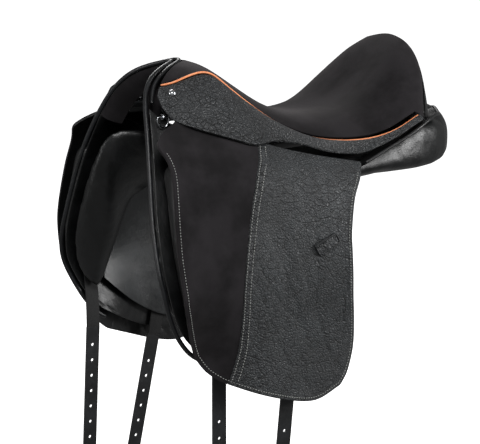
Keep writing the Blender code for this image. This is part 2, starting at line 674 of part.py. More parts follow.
def make_safety_catch(label, side):
    """The thumb catch that closes the bar's open rear end, its origin on its hinge."""
    hinge = (-0.0875, side * 0.1055, 0.1865)
    catch = bar("safety_catch_" + label, (0.022, 0.008, 0.005), hinge, steel(), 0.0012)
    catch.data.transform(Matrix.Translation((0.011, 0, 0)))


def make_dee(label, side):
    """A small ring under the skirt's front corner, lying against the flap and held by its wire staple."""
    centre = np.array([-0.182, side * 0.0935, 0.184])
    outline = smooth([(-0.008, 0), (0, 0), (0.008, 0), (0.0095, -0.004), (0.006, -0.0125), (0, -0.015),
                      (-0.006, -0.0125), (-0.0095, -0.004), (-0.008, 0)], 19)[:-1]
    ring = tube("dee_ring_" + label, [(x, 0, z) for x, z in outline], 0.0013, steel(), closed=True,
                resolution=1)
    ring.location = centre
    bend = [(-side * 0.0030 * sin(angle), 0.0030 * cos(angle)) for angle in np.linspace(0, -pi, 7)]
    staple = [(0.0, 0.003)] + [(y, z) for y, z in bend[1:-1]] + [(0.0, -0.003)]
    ends = [(-side * 0.006, 0.003), (-side * 0.006, -0.003)]
    points = [centre + np.array([0, y, z]) for y, z in [ends[0]] + staple + [ends[1]]]
    tube("dee_staple_" + label, points, 0.0011, steel(), resolution=1)


def make_stud(label, side):
    """The domed head that nails the skirt to the tree."""
    x, down = -0.161, 0.26
    spots = ((x, down), (x + 0.01, down), (x, down + 0.1))
    spot, ahead, below = (facing_point(*place_at, side) for place_at in spots)
    normal = np.cross(ahead - spot, below - spot)
    normal = normal / np.linalg.norm(normal) * (1 if normal[1] * side > 0 else -1)
    spot = spot + normal * (SKIRT_THICKNESS / 2 + 0.0007)
    turned("saddle_stud_" + label,
           [(0, 0.0040), (0.0022, 0.0037), (0.0042, 0.0026), (0.0055, 0.0010), (0.0058, 0), (0, 0)],
           spot, normal, steel(), 16)


start_scene()
make_tree()
make_seat()
make_rear_facing()
make_pommel()
make_gullet_lining()
for label, side in SIDES.items():
    for make in (make_welt, make_facing, make_skirt, make_flap, make_sweat_flap, make_lining,
                 make_knee_block,
                 make_panel, make_panel_piping, make_stirrup_bar, make_safety_catch, make_dee, make_stud):
        make(label, side)
for name, (root_x, lean, first_hole) in BILLETS.items():
    make_billet(name, root_x, lean, first_hole)
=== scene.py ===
import json
import math
import bpy
import numpy as np
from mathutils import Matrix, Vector, noise

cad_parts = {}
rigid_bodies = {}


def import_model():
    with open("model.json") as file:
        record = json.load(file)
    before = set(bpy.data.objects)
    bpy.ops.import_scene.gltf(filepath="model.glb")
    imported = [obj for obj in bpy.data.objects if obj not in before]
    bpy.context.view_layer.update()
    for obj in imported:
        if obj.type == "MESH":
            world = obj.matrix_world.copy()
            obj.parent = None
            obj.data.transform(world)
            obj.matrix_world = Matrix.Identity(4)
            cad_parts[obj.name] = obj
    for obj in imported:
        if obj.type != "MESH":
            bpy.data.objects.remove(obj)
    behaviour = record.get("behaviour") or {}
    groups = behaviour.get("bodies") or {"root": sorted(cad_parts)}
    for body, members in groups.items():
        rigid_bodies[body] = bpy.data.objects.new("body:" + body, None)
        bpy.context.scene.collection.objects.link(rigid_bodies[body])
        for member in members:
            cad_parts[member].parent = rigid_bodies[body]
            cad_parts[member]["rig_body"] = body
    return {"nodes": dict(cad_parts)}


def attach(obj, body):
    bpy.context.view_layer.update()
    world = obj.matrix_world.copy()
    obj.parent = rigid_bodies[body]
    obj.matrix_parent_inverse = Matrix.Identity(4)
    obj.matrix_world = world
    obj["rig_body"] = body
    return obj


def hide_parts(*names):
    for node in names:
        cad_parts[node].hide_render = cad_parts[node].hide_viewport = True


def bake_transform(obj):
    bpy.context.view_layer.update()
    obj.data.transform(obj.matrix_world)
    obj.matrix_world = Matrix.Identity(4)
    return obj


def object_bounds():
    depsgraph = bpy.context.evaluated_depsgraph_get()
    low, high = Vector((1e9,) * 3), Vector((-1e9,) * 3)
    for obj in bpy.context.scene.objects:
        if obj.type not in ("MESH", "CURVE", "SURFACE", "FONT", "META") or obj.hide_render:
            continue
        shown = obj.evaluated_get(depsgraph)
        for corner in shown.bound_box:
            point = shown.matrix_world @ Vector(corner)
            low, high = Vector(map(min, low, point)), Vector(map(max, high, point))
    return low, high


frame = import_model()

cadBox = [list(corner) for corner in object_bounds()]
sides = {"left": -1, "right": 1}


# small helpers

def activate(piece):
    bpy.ops.object.select_all(action="DESELECT")
    piece.select_set(True)
    bpy.context.view_layer.objects.active = piece


def applyModifier(piece, kind, **settings):
    made = piece.modifiers.new(kind.lower(), kind)
    for key, value in settings.items():
        setattr(made, key, value)
    activate(piece)
    bpy.ops.object.modifier_apply(modifier=made.name)


def soften(piece, levels):
    applyModifier(piece, "SUBSURF", levels=levels, render_levels=levels)


def roundEdges(piece, width, angle=40):
    applyModifier(piece, "BEVEL", width=width, segments=2, limit_method="ANGLE",
                  angle_limit=math.radians(angle))


def finishPiece(piece, material, node=None):
    activate(piece)
    bpy.ops.object.shade_smooth()
    piece.data.materials.clear()
    piece.data.materials.append(material)
    if node:
        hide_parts(*([node] if isinstance(node, str) else node))
    return piece


def cadCopy(nodeName, pieceName):
    piece = bpy.data.objects.new(pieceName, frame["nodes"][nodeName].data.copy())
    bpy.context.scene.collection.objects.link(piece)
    activate(piece)
    bpy.ops.mesh.customdata_custom_splitnormals_clear()
    bpy.ops.object.mode_set(mode="EDIT")
    bpy.ops.mesh.select_all(action="SELECT")
    bpy.ops.mesh.remove_doubles(threshold=0.00002)
    bpy.ops.mesh.tris_convert_to_quads(face_threshold=math.radians(50), shape_threshold=math.radians(70))
    bpy.ops.object.mode_set(mode="OBJECT")
    return piece


def catmull(points, count):
    points = np.array(points, float)
    ends = np.vstack([2 * points[0] - points[1], points, 2 * points[-1] - points[-2]])
    share = np.linspace(0, 1, 24, endpoint=False)[:, None]
    spans = [0.5 * (2 * b + (c - a) * share + (2 * a - 5 * b + 4 * c - d) * share ** 2
                    + (3 * b - a - 3 * c + d) * share ** 3)
             for a, b, c, d in zip(ends[:-3], ends[1:-2], ends[2:-1], ends[3:])]
    fine = np.vstack(spans + [points[-1:]])
    along = np.concatenate([[0], np.cumsum(np.linalg.norm(np.diff(fine, axis=0), axis=1))])
    places = np.linspace(0, along[-1], count)
    return np.stack([np.interp(places, along, fine[:, k]) for k in range(points.shape[1])], axis=1)


def ease(share):
    share = np.clip(share, 0, 1)
    return share * share * (3 - 2 * share)


def mix(a, b, share):
    return a + (b - a) * share


def gridSheet(name, grid, thickness, edge=0.0012, levels=1):
    grid = np.array(grid, float)
    rows, columns = grid.shape[:2]
    faces = [(i * columns + j, i * columns + j + 1, (i + 1) * columns + j + 1, (i + 1) * columns + j)
             for i in range(rows - 1) for j in range(columns - 1)]
    mesh = bpy.data.meshes.new(name)
    mesh.from_pydata([tuple(point) for point in grid.reshape(-1, 3)], [], faces)
    piece = bpy.data.objects.new(name, mesh)
    bpy.context.scene.collection.objects.link(piece)
    applyModifier(piece, "SOLIDIFY", thickness=thickness, offset=0)
    activate(piece)
    bpy.ops.object.mode_set(mode="EDIT")
    bpy.ops.mesh.select_all(action="SELECT")
    bpy.ops.mesh.normals_make_consistent(inside=False)
    bpy.ops.object.mode_set(mode="OBJECT")
    if edge:
        roundEdges(piece, edge)
    if levels:
        soften(piece, levels)
    return piece


def cordMesh(name, points, radius):
    curve = bpy.data.curves.new(name, "CURVE")
    curve.dimensions = "3D"
    curve.bevel_depth = radius
    curve.bevel_resolution = 3
    curve.use_fill_caps = True
    spline = curve.splines.new("POLY")
    spline.points.add(len(points) - 1)
    for spot, point in zip(spline.points, points):
        spot.co = (*point, 1)
    piece = bpy.data.objects.new(name, curve)
    bpy.context.scene.collection.objects.link(piece)
    activate(piece)
    bpy.ops.object.convert(target="MESH")
    return piece


def stitchMesh(name, rows, stitch):
    turns = [(math.cos(a), math.sin(a)) for a in np.linspace(0, 2 * math.pi, 6, endpoint=False)]
    corners, faces = [], []
    for spots, normals in rows:
        spots, normals = np.array(spots), np.array(normals)
        steps = np.linalg.norm(np.diff(spots, axis=0), axis=1)
        along = np.concatenate([[0], np.cumsum(steps)])
        count = int(along[-1] / stitch["pitch"])
        for k in range(count):
            middle = (k + 0.5) * stitch["pitch"]
            at = lambda s: np.array([np.interp(s, along, spots[:, i]) for i in range(3)])
            centre, ahead = at(middle), at(middle + 0.0005) - at(middle - 0.0005)
            ahead /= np.linalg.norm(ahead)
            normal = np.array([np.interp(middle, along, normals[:, i]) for i in range(3)])
            normal = normal - ahead * (normal @ ahead)
            normal /= np.linalg.norm(normal)
            across = np.cross(ahead, normal)
            start = len(corners)
            for push, size in ((-0.5, 0.0), (-0.38, 0.8), (0.38, 0.8), (0.5, 0.0)):
                hub = (centre + ahead * push * stitch["length"]
                       + normal * stitch["radius"] * (0.5 if size else -0.2))
                if size:
                    corners += [hub + (across * c + normal * s) * stitch["radius"] * size * 1.25
                                for c, s in turns]
                else:
                    corners.append(hub)
            for i in range(6):
                j = (i + 1) % 6
                faces += [(start, start + 1 + j, start + 1 + i),
                          (start + 1 + i, start + 1 + j, start + 7 + j, start + 7 + i),
                          (start + 13, start + 7 + i, start + 7 + j)]
    mesh = bpy.data.meshes.new(name)
    mesh.from_pydata([tuple(point) for point in corners], [], faces)
    piece = bpy.data.objects.new(name, mesh)
    bpy.context.scene.collection.objects.link(piece)
    activate(piece)
    bpy.ops.object.mode_set(mode="EDIT")
    bpy.ops.mesh.select_all(action="SELECT")
    bpy.ops.mesh.normals_make_consistent(inside=False)
    bpy.ops.object.mode_set(mode="OBJECT")
    return piece


# materials

def linear(hexColour):
    parts = [int(hexColour[k:k + 2], 16) / 255 for k in (1, 3, 5)]
    return (*[c / 12.92 if c <= 0.04045 else ((c + 0.055) / 1.055) ** 2.4 for c in parts], 1)


def addNode(tree, kind, settings=(), links=()):
    made = tree.nodes.new(kind)
    for key, value in dict(settings).items():
        if hasattr(made, str(key)):
            setattr(made, key, value)
        else:
            made.inputs[key].default_value = value
    for key, socket in dict(links).items():
        tree.links.new(socket, made.inputs[key])
    return made


def newMaterial(name, shader):
    made = bpy.data.materials.new(name)
    made.use_nodes = True
    tree = made.node_tree
    base = tree.nodes["Principled BSDF"]
    for key, value in shader.items():
        base.inputs[key].default_value = value
    place = addNode(tree, "ShaderNodeTexCoord").outputs["Object"]
    return made, tree, base, place


# places pushed about by a slow noise, so that the pattern drawn on them isn't regular
def warped(tree, place, sizeMm, reachMm):
    shift = addNode(tree, "ShaderNodeTexNoise", {"Scale": 1000 / sizeMm, "Detail": 2.0},
                    {"Vector": place}).outputs["Color"]
    centred = addNode(tree, "ShaderNodeVectorMath", {"operation": "SUBTRACT", 1: (0.5, 0.5, 0.5)},
                      {0: shift}).outputs[0]
    scaled = addNode(tree, "ShaderNodeVectorMath", {"operation": "SCALE", "Scale": reachMm / 1000},
                     {0: centred}).outputs[0]
    return addNode(tree, "ShaderNodeVectorMath", {"operation": "ADD"}, {0: place, 1: scaled}).outputs[0]


# 0 in the creases between cells of skin, rising to 1 on the cells
def cracks(tree, place, sizeMm, width):
    edges = addNode(tree, "ShaderNodeTexVoronoi", {"feature": "DISTANCE_TO_EDGE", "Scale": 1000 / sizeMm},
                    {"Vector": place}).outputs["Distance"]
    return addNode(tree, "ShaderNodeMapRange", {"interpolation_type": "SMOOTHSTEP", "From Max": width},
                   {"Value": edges}).outputs["Result"]


# nubuck: sanded calf leather, no gloss, a soft nap that catches light at its edges
def makeSuede():
    made, tree, base, place = newMaterial("nubuckCharcoal", {
        "Roughness": 0.93, "Sheen Weight": 0.20, "Sheen Roughness": 0.45, "Specular IOR Level": 0.12,
        "Sheen Tint": linear("#a39d9d")})
    # hand-brushed patches, about 70 mm across
    clouds = addNode(tree, "ShaderNodeTexNoise", {"Scale": 1000 / 70, "Detail": 4, "Roughness": 0.6},
                     {"Vector": place}).outputs["Fac"]
    # the nap is coarser than the real 0.3 mm, so that it shows
    nap = addNode(tree, "ShaderNodeTexNoise", {"Scale": 1000 / 1.6, "Detail": 3, "Roughness": 0.7},
                  {"Vector": place}).outputs["Fac"]
    brushed = addNode(tree, "ShaderNodeMapRange", {
        "interpolation_type": "SMOOTHSTEP", "From Min": 0.34, "From Max": 0.66, "To Max": 0.75},
        {"Value": clouds}).outputs["Result"]
    paleNap = addNode(tree, "ShaderNodeMath", {"operation": "MULTIPLY", 1: 0.35}, {0: nap}).outputs[0]
    tone = addNode(tree, "ShaderNodeMath", {"operation": "ADD"}, {0: brushed, 1: paleNap}).outputs[0]
    colour = addNode(tree, "ShaderNodeMix", {
        "data_type": "RGBA", 6: linear("#100f10"), 7: linear("#242224")}, {0: tone}).outputs[2]
    tree.links.new(colour, base.inputs["Base Color"])
    swell = addNode(tree, "ShaderNodeMath", {"operation": "MULTIPLY", 1: 3.0}, {0: clouds}).outputs[0]
    height = addNode(tree, "ShaderNodeMath", {"operation": "ADD"}, {0: nap, 1: swell}).outputs[0]
    relief = addNode(tree, "ShaderNodeBump", {"Strength": 0.6, "Distance": 0.0004}, {"Height": height})
    tree.links.new(relief.outputs["Normal"], base.inputs["Normal"])
    return made


# shrunken bull hide: drum-dyed, pebbled, with open wrinkles; semi-gloss on the crests
def makeGrained(name, hide):
    made, tree, base, place = newMaterial(name, {"Specular IOR Level": 0.5})
    pebbles = cracks(tree, warped(tree, place, 5, 2.0), hide["pebbleMm"], 0.24)
    wrinkles = cracks(tree, warped(tree, place, 14, 7), hide["wrinkleMm"], 0.085)
    fine = addNode(tree, "ShaderNodeTexNoise", {"Scale": 1000 / 2.4, "Detail": 3, "Roughness": 0.65},
                   {"Vector": place}).outputs["Fac"]

    # the wrinkles open only in patches about 45 mm across
    clouds = addNode(tree, "ShaderNodeTexNoise", {"Scale": 1000 / 45, "Detail": 3, "Roughness": 0.55},
                     {"Vector": place}).outputs["Fac"]
    patches = addNode(tree, "ShaderNodeMapRange", {
        "interpolation_type": "SMOOTHSTEP", "From Min": 0.30, "From Max": 0.52},
        {"Value": clouds}).outputs["Result"]
    sunk = addNode(tree, "ShaderNodeMath", {"operation": "SUBTRACT", 1: 1.0}, {0: wrinkles}).outputs[0]
    sunkHere = addNode(tree, "ShaderNodeMath", {"operation": "MULTIPLY"}, {0: patches, 1: sunk}).outputs[0]
    opened = addNode(tree, "ShaderNodeMath", {"operation": "ADD", 0: 1.0}, {1: sunkHere}).outputs[0]

    pebbled = addNode(tree, "ShaderNodeMath", {"operation": "MULTIPLY", 1: 0.5}, {0: pebbles}).outputs[0]
    rough = addNode(tree, "ShaderNodeMath", {"operation": "MULTIPLY", 1: 0.18}, {0: fine}).outputs[0]
    skin = addNode(tree, "ShaderNodeMath", {"operation": "ADD"}, {0: pebbled, 1: rough}).outputs[0]
    deep = addNode(tree, "ShaderNodeMath", {"operation": "MULTIPLY", 1: hide["wrinkleDepth"]},
                   {0: opened}).outputs[0]
    height = addNode(tree, "ShaderNodeMath", {"operation": "ADD"}, {0: skin, 1: deep}).outputs[0]

    # painted shade: the colour is darker down in the creases and between the pebbles and paler on the crests,
    # and broad patches of the hide took the dye unevenly
    paintedCreaseShade = addNode(tree, "ShaderNodeMapRange", {
        "interpolation_type": "SMOOTHSTEP", "From Min": 0.20, "From Max": 0.60 + hide["wrinkleDepth"]},
        {"Value": height}).outputs["Result"]
    uneven = addNode(tree, "ShaderNodeTexNoise", {"Scale": 1000 / 60, "Detail": 3, "Roughness": 0.55},
                     {"Vector": place}).outputs["Fac"]
    dye = addNode(tree, "ShaderNodeMapRange", {
        "interpolation_type": "SMOOTHSTEP", "From Min": 0.3, "From Max": 0.7, "To Min": 0.55},
        {"Value": uneven}).outputs["Result"]
    tone = addNode(tree, "ShaderNodeMath", {"operation": "MULTIPLY"}, {0: paintedCreaseShade, 1: dye}).outputs[0]
    colour = addNode(tree, "ShaderNodeMix", {
        "data_type": "RGBA", 6: linear(hide["dark"]), 7: linear(hide["light"])}, {0: tone}).outputs[2]
    tree.links.new(colour, base.inputs["Base Color"])
    gloss = addNode(tree, "ShaderNodeMapRange", {
        "interpolation_type": "SMOOTHSTEP", "To Min": 0.62, "To Max": 0.43}, {"Value": tone})
    tree.links.new(gloss.outputs["Result"], base.inputs["Roughness"])
    relief = addNode(tree, "ShaderNodeBump", {"Strength": 1.0, "Distance": hide["reliefMm"] / 1000},
                     {"Height": height})
    tree.links.new(relief.outputs["Normal"], base.inputs["Normal"])
    return made


# smooth full-grain calf: finely pored, waxed, soft broad highlights
def makeSmooth(name, dark, light, roughness, poreMm=1.4, foldStrength=0.6):
    made, tree, base, place = newMaterial(name, {
        "Specular IOR Level": 0.45, "Coat Weight": 0.05, "Coat Roughness": 0.35})
    pores = cracks(tree, place, poreMm, 0.35)
    clouds = addNode(tree, "ShaderNodeTexNoise", {"Scale": 1000 / 45, "Detail": 4, "Roughness": 0.6},
                     {"Vector": place}).outputs["Fac"]
    folds = addNode(tree, "ShaderNodeTexNoise", {"Scale": 1000 / 22, "Detail": 2, "Roughness": 0.5},
                    {"Vector": warped(tree, place, 40, 12)}).outputs["Fac"]
    tone = addNode(tree, "ShaderNodeMapRange", {
        "interpolation_type": "SMOOTHSTEP", "From Min": 0.3, "From Max": 0.7},
        {"Value": clouds}).outputs["Result"]
    colour = addNode(tree, "ShaderNodeMix", {
        "data_type": "RGBA", 6: linear(dark), 7: linear(light)}, {0: tone}).outputs[2]
    tree.links.new(colour, base.inputs["Base Color"])
    wax = addNode(tree, "ShaderNodeMapRange", {
        "interpolation_type": "SMOOTHSTEP", "From Min": 0.25, "From Max": 0.75,
        "To Min": roughness - 0.05, "To Max": roughness + 0.08}, {"Value": clouds})
    tree.links.new(wax.outputs["Result"], base.inputs["Roughness"])
    pitted = addNode(tree, "ShaderNodeMath", {"operation": "MULTIPLY", 1: 0.05}, {0: pores}).outputs[0]
    folded = addNode(tree, "ShaderNodeMath", {"operation": "MULTIPLY", 1: foldStrength},
                     {0: folds}).outputs[0]
    height = addNode(tree, "ShaderNodeMath", {"operation": "ADD"}, {0: pitted, 1: folded}).outputs[0]
    relief = addNode(tree, "ShaderNodeBump", {"Strength": 0.7, "Distance": 0.0022}, {"Height": height})
    tree.links.new(relief.outputs["Normal"], base.inputs["Normal"])
    return made


# one even grain, which also mottles the colour where two colours are given
def makePlain(name, shader, grainMm, depth, colours=None):
    made, tree, base, place = newMaterial(name, shader)
    grain = addNode(tree, "ShaderNodeTexNoise", {"Scale": 1000 / grainMm, "Detail": 3, "Roughness": 0.6},
                    {"Vector": place}).outputs["Fac"]
    relief = addNode(tree, "ShaderNodeBump", {"Strength": 0.6, "Distance": depth}, {"Height": grain})
    tree.links.new(relief.outputs["Normal"], base.inputs["Normal"])
    if colours:
        tone = addNode(tree, "ShaderNodeMapRange", {
            "interpolation_type": "SMOOTHSTEP", "From Min": 0.3, "From Max": 0.7},
            {"Value": grain}).outputs["Result"]
        colour = addNode(tree, "ShaderNodeMix", {
            "data_type": "RGBA", 6: linear(colours[0]), 7: linear(colours[1])}, {0: tone}).outputs[2]
        tree.links.new(colour, base.inputs["Base Color"])
    return made


suede = makeSuede()
grained = makeGrained("bullHideWrinkled", {
    "pebbleMm": 4.6, "wrinkleMm": 9.5, "wrinkleDepth": 1.0, "reliefMm": 1.2,
    "dark": "#060707", "light": "#2a2c2e"})
grainedFlap = makeGrained("bullHidePebbled", {
    "pebbleMm": 3.8, "wrinkleMm": 12.0, "wrinkleDepth": 0.45, "reliefMm": 1.0,
    "dark": "#090a0b", "light": "#313436"})
smoothLeather = makeSmooth("calfSmooth", "#050606", "#0c0d0e", 0.34)
panelLeather = makeSmooth("calfPanel", "#050606", "#0b0c0d", 0.34, 1.8, 0.9)
# painted reflection: the lining is the same black calf as the panels, given a paler colour that stands in for
# the light it reflects
liningLeatherPaintedPale = makeSmooth("calfLiningPaintedPale", "#131516", "#202325", 0.40, 1.6, 0.5)
strapLeather = makeSmooth("bridleStrap", "#090a0b", "#15171a", 0.38, 1.2, 0.4)
# dyed leather round a cord: a plain orange line with a slight shine
weltLeather = makePlain("dyedWelt", {"Roughness": 0.5, "Specular IOR Level": 0.4}, 2.0, 0.0001,
                        ("#d97a45", "#ee9f70"))
# linen thread: pale grey and dull
thread = makePlain("linenThread", {"Roughness": 0.8}, 1.5, 0.0001, ("#777876", "#a3a4a0"))
# chromed steel: clear bright reflections, a little uneven over each 6 mm
chrome = makePlain("chromedSteel",
                   {"Base Color": linear("#cfd2d6"), "Metallic": 1.0, "Roughness": 0.13}, 6.0, 0.00005)
# moulded nylon: near-black, satin, faintly mottled
nylonTree = makePlain("mouldedNylon", {"Roughness": 0.55}, 2.0, 0.0001, ("#0d0d0d", "#1a1a1a"))
# foam in a black cotton cover: no gloss at all
coveredFoam = makePlain("cottonCoveredFoam", {"Roughness": 0.95}, 3.0, 0.0004, ("#0d0d0d", "#191919"))
# nylon webbing: near-black and matt, its weave drawn as a fine roughness
webbing = makePlain("nylonWebbing", {"Roughness": 0.85}, 1.8, 0.0003, ("#0b0b0b", "#1c1c1c"))
print("materials made")


# CAD nodes that keep their shape
kept = {
    "tree": nylonTree, "head_plate": chrome, "seat_foam": coveredFoam, "gullet_lining": liningLeatherPaintedPale,
}
for side in sides:
    for piece in ("stirrup_bar", "bar_rivet_1", "bar_rivet_2", "safety_catch", "dee_staple"):
        kept[f"{piece}_{side}"] = chrome
    for place in ("front", "rear"):
        kept[f"billet_{place}_{side}"] = strapLeather
for nodeName, material in kept.items():
    mesh = frame["nodes"][nodeName].data
    mesh.materials.clear()
    mesh.materials.append(material)

# the cushion falls away at its outer rear corner, and its piping dips to stay on it
def roundBehindCantle(piece, rise):
    for vert in piece.data.vertices:
        x, y, z = vert.co
        corner = ease((x - 0.245) / 0.05) * ease((abs(y) - 0.085) / 0.045)
        middle = ease((x - 0.250) / 0.04) * (1 - ease((abs(y) - 0.075) / 0.04))
        vert.co.z += ease((z - 0.125) / 0.035) * (rise * middle - 0.013 * corner)


# sheets, rolls and fittings that follow their CAD nodes, with rounded leather edges
copies = {
    # node: material, slot, edge radius, subdivision
    "seat_cover": (suede, "suede", 0.0007, 2),
    "rear_facing": (smoothLeather, "smooth_leather", 0.0007, 2),
    "front_piping": (strapLeather, "smooth_leather", 0, 2),
    "pommel_piping": (strapLeather, "smooth_leather", 0, 2),
}
for side in sides:
    copies.update({
        f"welt_{side}": (weltLeather, "orange_piping", 0, 2),
        f"side_facing_{side}": (grained, "grained_leather", 0.0010, 2),
        f"sweat_flap_{side}": (smoothLeather, "smooth_leather", 0.0008, 2),
        f"panel_lining_{side}": (liningLeatherPaintedPale, "lining_leather", 0.0006, 2),
        f"panel_piping_{side}": (smoothLeather, "smooth_leather", 0, 2),
        f"saddle_stud_{side}": (chrome, "steel", 0.0004, 2),
        f"dee_ring_{side}": (chrome, "steel", 0, 2),
    })
for nodeName, (material, slotName, edge, levels) in copies.items():
    piece = cadCopy(nodeName, nodeName + "_shown")
    if nodeName.startswith("panel_piping"):
        roundBehindCantle(piece, -0.014)
    if edge:
        roundEdges(piece, edge)
    soften(piece, levels)
    finishPiece(piece, material, nodeName)
    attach(piece, frame["nodes"][nodeName]["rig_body"])
print("leather sheets made")


# the straps' fixed upper ends, carried down behind the moving ends so that no light shows between them
for side in sides:
    for place in ("front", "rear"):
        piece = cadCopy(f"billet_root_{place}_{side}", f"billet_root_web_{place}_{side}")
        lowest = min(vert.co.z for vert in piece.data.vertices)
        for vert in piece.data.vertices:
            if vert.co.z < lowest + 0.004:
                vert.co += Vector((0, -0.0006 * sides[side], -0.0055))
        roundEdges(piece, 0.0004)
        finishPiece(piece, webbing, f"billet_root_{place}_{side}")
        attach(piece, "saddle")
print("strap ends made")


# flaps: one leather from under the skirt to the bottom, suede in front and grained hide behind
flap = {"thickness": 0.0045, "foldFront": (-0.220, 0.142, 0.150), "foldRear": (0.105, 0.1955, 0.106),
        "barrel": 0.142}
barrelShape = catmull([(-0.06, -0.062), (-0.03, -0.032), (0, 0), (0.02, 0.019), (0.05, 0.036), (0.10, 0.052),
                       (0.16, 0.066), (0.22, 0.071), (0.32, 0.074), (0.42, 0.073)], 160)


def foldAt(x):
    share = (x - flap["foldFront"][0]) / (flap["foldRear"][0] - flap["foldFront"][0])
    return (mix(flap["foldFront"][1], flap["foldRear"][1], share),
            mix(flap["foldFront"][2], flap["foldRear"][2], share))


def flapWidth(x, z):
    width, height = foldAt(x)
    drop = height - z
    tuck = 0.046 * ease((-0.08 - x) / 0.11) * ease((-0.05 - z) / 0.12)
    return (flap["barrel"] + np.interp(drop, barrelShape[:, 0], barrelShape[:, 1])
            + (width - flap["barrel"]) * (1 - ease(drop / 0.3)) - tuck)


def patch(top, bottom, front, rear, columns, rows):
    top, bottom = catmull(top, columns + 1), catmull(bottom, columns + 1)
    front, rear = catmull(front, rows + 1)[:, None], catmull(rear, rows + 1)[:, None]
    u = np.linspace(0, 1, columns + 1)[None, :, None]
    v = np.linspace(0, 1, rows + 1)[:, None, None]
    corners = (1 - v) * mix(top[0], top[-1], u) + v * mix(bottom[0], bottom[-1], u)
    return (1 - v) * top + v * bottom + (1 - u) * front + u * rear - corners


def skirtEdge(x):
    height = np.interp(x, edgeShape[:, 0], edgeShape[:, 1])
    width = mix(flapWidth(x, height) + 0.008, np.interp(x, weltWide[:, 0], weltWide[:, 1]) + 0.016,
                ease((x - 0.08) / 0.10))
    return width - 0.012 * ease((-0.150 - x) / 0.034), height


def onSkirt(x, down, lift):
    upper = np.array([np.interp(x, weltWide[:, 0], weltWide[:, 1]),
                      np.interp(x, weltHigh[:, 0], weltHigh[:, 1])])
    fall = np.array(skirtEdge(x)) - upper
    normal = np.array([-fall[1], fall[0]]) / np.linalg.norm(fall)
    out = upper + fall * down + normal * (0.003 * math.sin(math.pi * down) + lift)
    return np.array([x, out[0], out[1]])


# skirts: from the welt down over the stirrup bar, with rows of grain wrinkles and a pressed border
skirt = {"front": -0.183, "rear": -0.020, "thickness": 0.0035, "top": 0.095, "proud": 0.0007,
         "rows": 40, "columns": 60, "creaseRow": 36}
weltWide = catmull([(-0.190, 0.056), (-0.173, 0.060), (-0.152, 0.068), (-0.131, 0.070),
                    (-0.100, 0.066), (-0.060, 0.066), (-0.030, 0.073), (0.000, 0.087),
                    (0.050, 0.115), (0.100, 0.140)], 160)
weltHigh = catmull([(-0.190, 0.2235), (-0.173, 0.226), (-0.153, 0.230), (-0.131, 0.2385),
                    (-0.105, 0.2435), (-0.085, 0.239), (-0.059, 0.219), (-0.030, 0.195),
                    (0.000, 0.171), (0.030, 0.153), (0.060, 0.141)], 160)
edgeShape = catmull([(-0.192, 0.195), (-0.184, 0.191), (-0.171, 0.178), (-0.148, 0.168),
                     (-0.098, 0.152), (-0.066, 0.143), (-0.033, 0.146), (0.008, 0.141),
                     (0.044, 0.129), (0.080, 0.124)], 160)
for side, sign in sides.items():
    rows = []
    for i, down in enumerate(np.linspace(skirt["top"], 1, skirt["rows"])):
        row = []
        front = skirt["front"] + 0.010 * ease(1 - down / 0.48) + 0.006 * ease((down - 0.74) / 0.26) ** 2
        for j, x in enumerate(np.linspace(front, skirt["rear"], skirt["columns"])):
            rim = ease(min(i, j, skirt["rows"] - 1 - i, skirt["columns"] - 1 - j) / 5)
            spot = onSkirt(x, down, 0)
            wave = (0.0012 * noise.noise(Vector((x * 35, spot[2] * 35, sign)))
                    + 0.0005 * noise.noise(Vector((x * 130, spot[2] * 130, 3))))
            # a creased line near the lower edge
            border = -0.0007 * math.exp(-((i - skirt["creaseRow"]) / 0.9) ** 2)
            spot = onSkirt(x, down, skirt["proud"] + wave * rim + border)
            row.append((spot[0], sign * spot[1], spot[2]))
        rows.append(row)
    piece = gridSheet(f"skirt_leather_{side}", rows, skirt["thickness"], 0.0012, 1)
    finishPiece(piece, grained, f"skirt_{side}")
    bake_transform(piece)
print("skirts made")


frontEdge = [(-0.206, 0.161), (-0.2175, 0.1490), (-0.212, 0.132), (-0.2103, 0.114),
             (-0.214, 0.078), (-0.218, 0.025),
             (-0.218, -0.012), (-0.211, -0.066), (-0.199, -0.101), (-0.185, -0.134), (-0.176, -0.156)]
seamLine = [(-0.056, 0.150), (-0.068, 0.1262), (-0.081, 0.106), (-0.098, 0.063),
            (-0.112, 0.002), (-0.119, -0.052),
            (-0.119, -0.100), (-0.120, -0.140), (-0.125, -0.168), (-0.133, -0.1965)]
rearEdge = [(0.095, 0.1108), (0.095, 0.1068), (0.083, 0.090), (0.066, 0.062), (0.058, 0.020), (0.058, -0.012),
            (0.062, -0.070), (0.068, -0.120), (0.069, -0.160), (0.060, -0.196), (0.047, -0.217)]
bottomRear = [(-0.097, -0.2105), (-0.055, -0.2245), (-0.016, -0.2335), (0.012, -0.2325)]
bottomFront = [(-0.161, -0.177), (-0.145, -0.190)]
hiddenTop = [(-0.194, 0.168), (-0.180, 0.174), (-0.167, 0.181), (-0.148, 0.181), (-0.120, 0.173),
             (-0.090, 0.163)]


def onFlap(points, sign, lift):
    return [(x, sign * (flapWidth(x, z) + lift), z) for x, z in points]


def flapNormals(points, sign):
    normals = []
    for x, z in points:
        dx = (flapWidth(x + 0.002, z) - flapWidth(x - 0.002, z)) / 0.004
        dz = (flapWidth(x, z + 0.002) - flapWidth(x, z - 0.002)) / 0.004
        normals.append(Vector((-dx, sign, -dz)).normalized())
    return normals


def insideLine(points, distance):
    points = np.array(points)
    ahead = np.gradient(points, axis=0)
    ahead /= np.linalg.norm(ahead, axis=1, keepdims=True)
    return points + np.stack([-ahead[:, 1], ahead[:, 0]], axis=1) * distance


